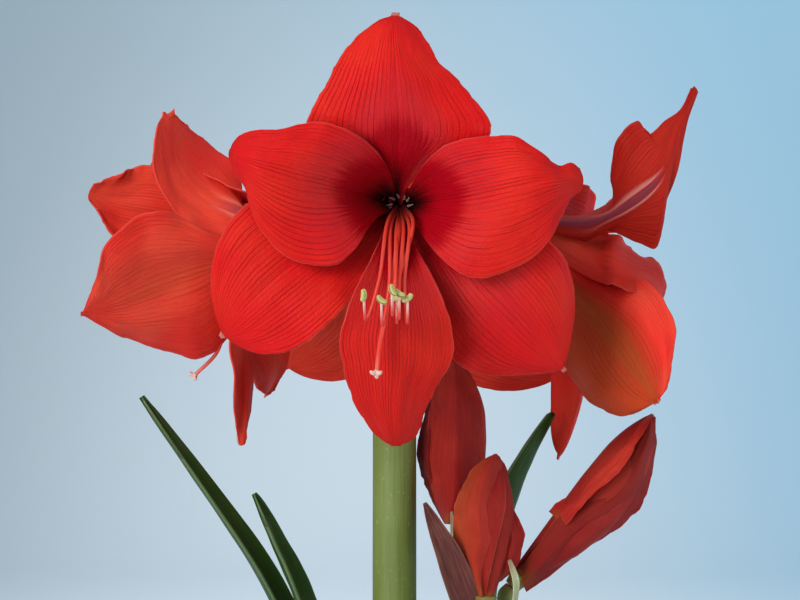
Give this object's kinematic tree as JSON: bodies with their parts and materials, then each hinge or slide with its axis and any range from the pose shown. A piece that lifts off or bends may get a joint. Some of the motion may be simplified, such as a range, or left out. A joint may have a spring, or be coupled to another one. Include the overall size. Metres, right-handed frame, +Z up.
{
  "type": "potted red amaryllis",
  "caption": "Flowering bulb plant in a plain clay pot: a tall stalk with large open trumpet flowers, a shorter stalk with buds, and strap leaves.",
  "frame": {"origin": "centre of the pot's underside", "axes": "+Z up along the flower stalk; -Y is the side that one open flower faces, +X to its right as seen from there"},
  "size_m": [0.3323, 0.3158, 0.6952],
  "materials": {
    "clay": "matte",
    "soil": "matte",
    "root": "matte",
    "tunic": "matte",
    "stalk": "satin",
    "leaf": "satin",
    "petal": "satin",
    "stamen": "satin",
    "pedicel": "satin",
    "bud": "satin",
    "spathe": "matte",
    "bract": "matte"
  },
  "bodies": {
    "root": {"pot": "clay", "soil": "soil", "roots": "root", "bulb": "tunic", "stalk_main": "stalk", "stalk_second": "stalk", "leaf_left_long": "leaf", "leaf_left_short": "leaf", "leaf_right": "leaf", "petals_front": "petal", "petals_left": "petal", "petals_right": "petal", "petals_back": "petal", "stamens_front": "stamen", "stamens_left": "stamen", "stamens_right": "stamen", "stamens_back": "stamen", "pedicel_front": "pedicel", "pedicel_left": "pedicel", "pedicel_right": "pedicel", "pedicel_back": "pedicel", "bud_back": "bud", "bud_front": "bud", "bud_right": "bud", "pedicel_bud_back": "pedicel", "pedicel_bud_front": "pedicel", "pedicel_bud_right": "pedicel", "spathe_main_left": "spathe", "spathe_main_back": "spathe", "spathe_second_left": "spathe", "spathe_second_right": "spathe", "bract_left": "bract", "bract_right": "bract"}
  },
  "joints": []
}
